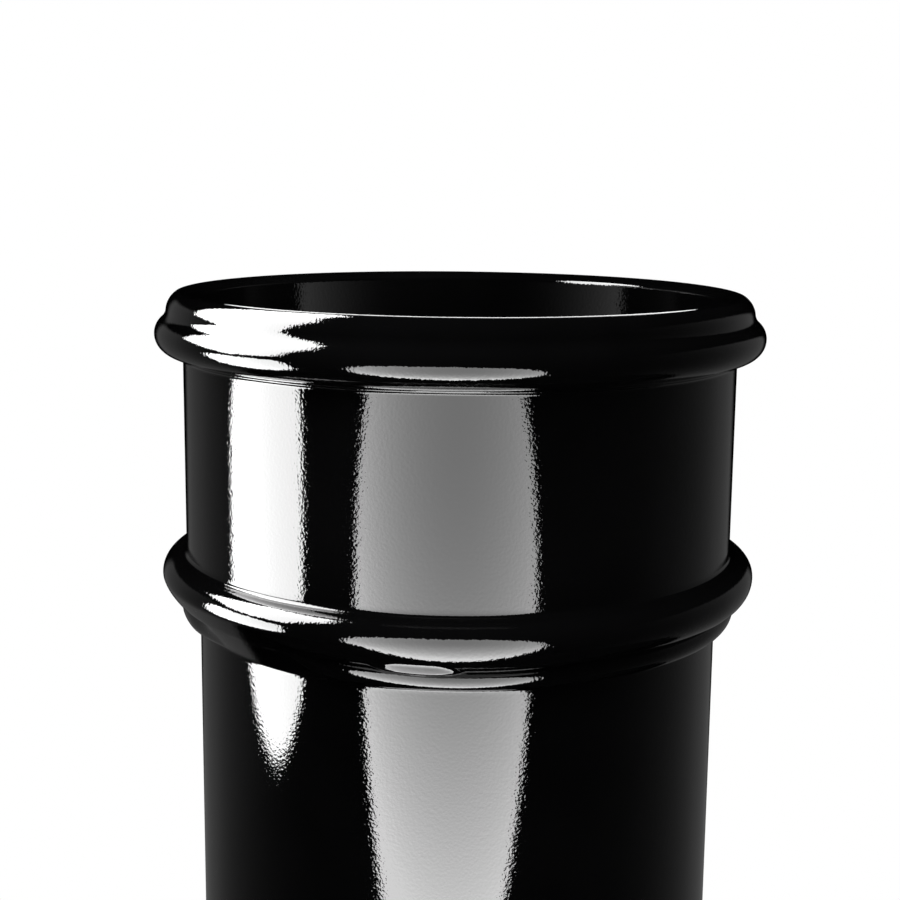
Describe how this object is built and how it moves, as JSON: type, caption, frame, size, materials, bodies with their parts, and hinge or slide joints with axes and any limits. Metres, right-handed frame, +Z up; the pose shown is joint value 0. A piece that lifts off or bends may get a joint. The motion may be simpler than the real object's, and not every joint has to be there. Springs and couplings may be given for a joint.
{
  "type": "round cast iron downpipe",
  "caption": "Round cast iron downpipe length with a moulded socket collar, beaded at its rim and foot, and a plain spigot that stands in the socket of the length below.",
  "frame": {"origin": "middle of the spigot's end face, which the pipe stands on", "axes": "+Z up the pipe's axis, from the spigot to the socket; X and Y are alike, because the pipe is round"},
  "size_m": [0.1266, 0.1266, 0.914],
  "materials": {
    "gloss_black_iron": "high gloss black paint"
  },
  "bodies": {
    "root": {"downpipe": "gloss_black_iron"}
  },
  "joints": []
}
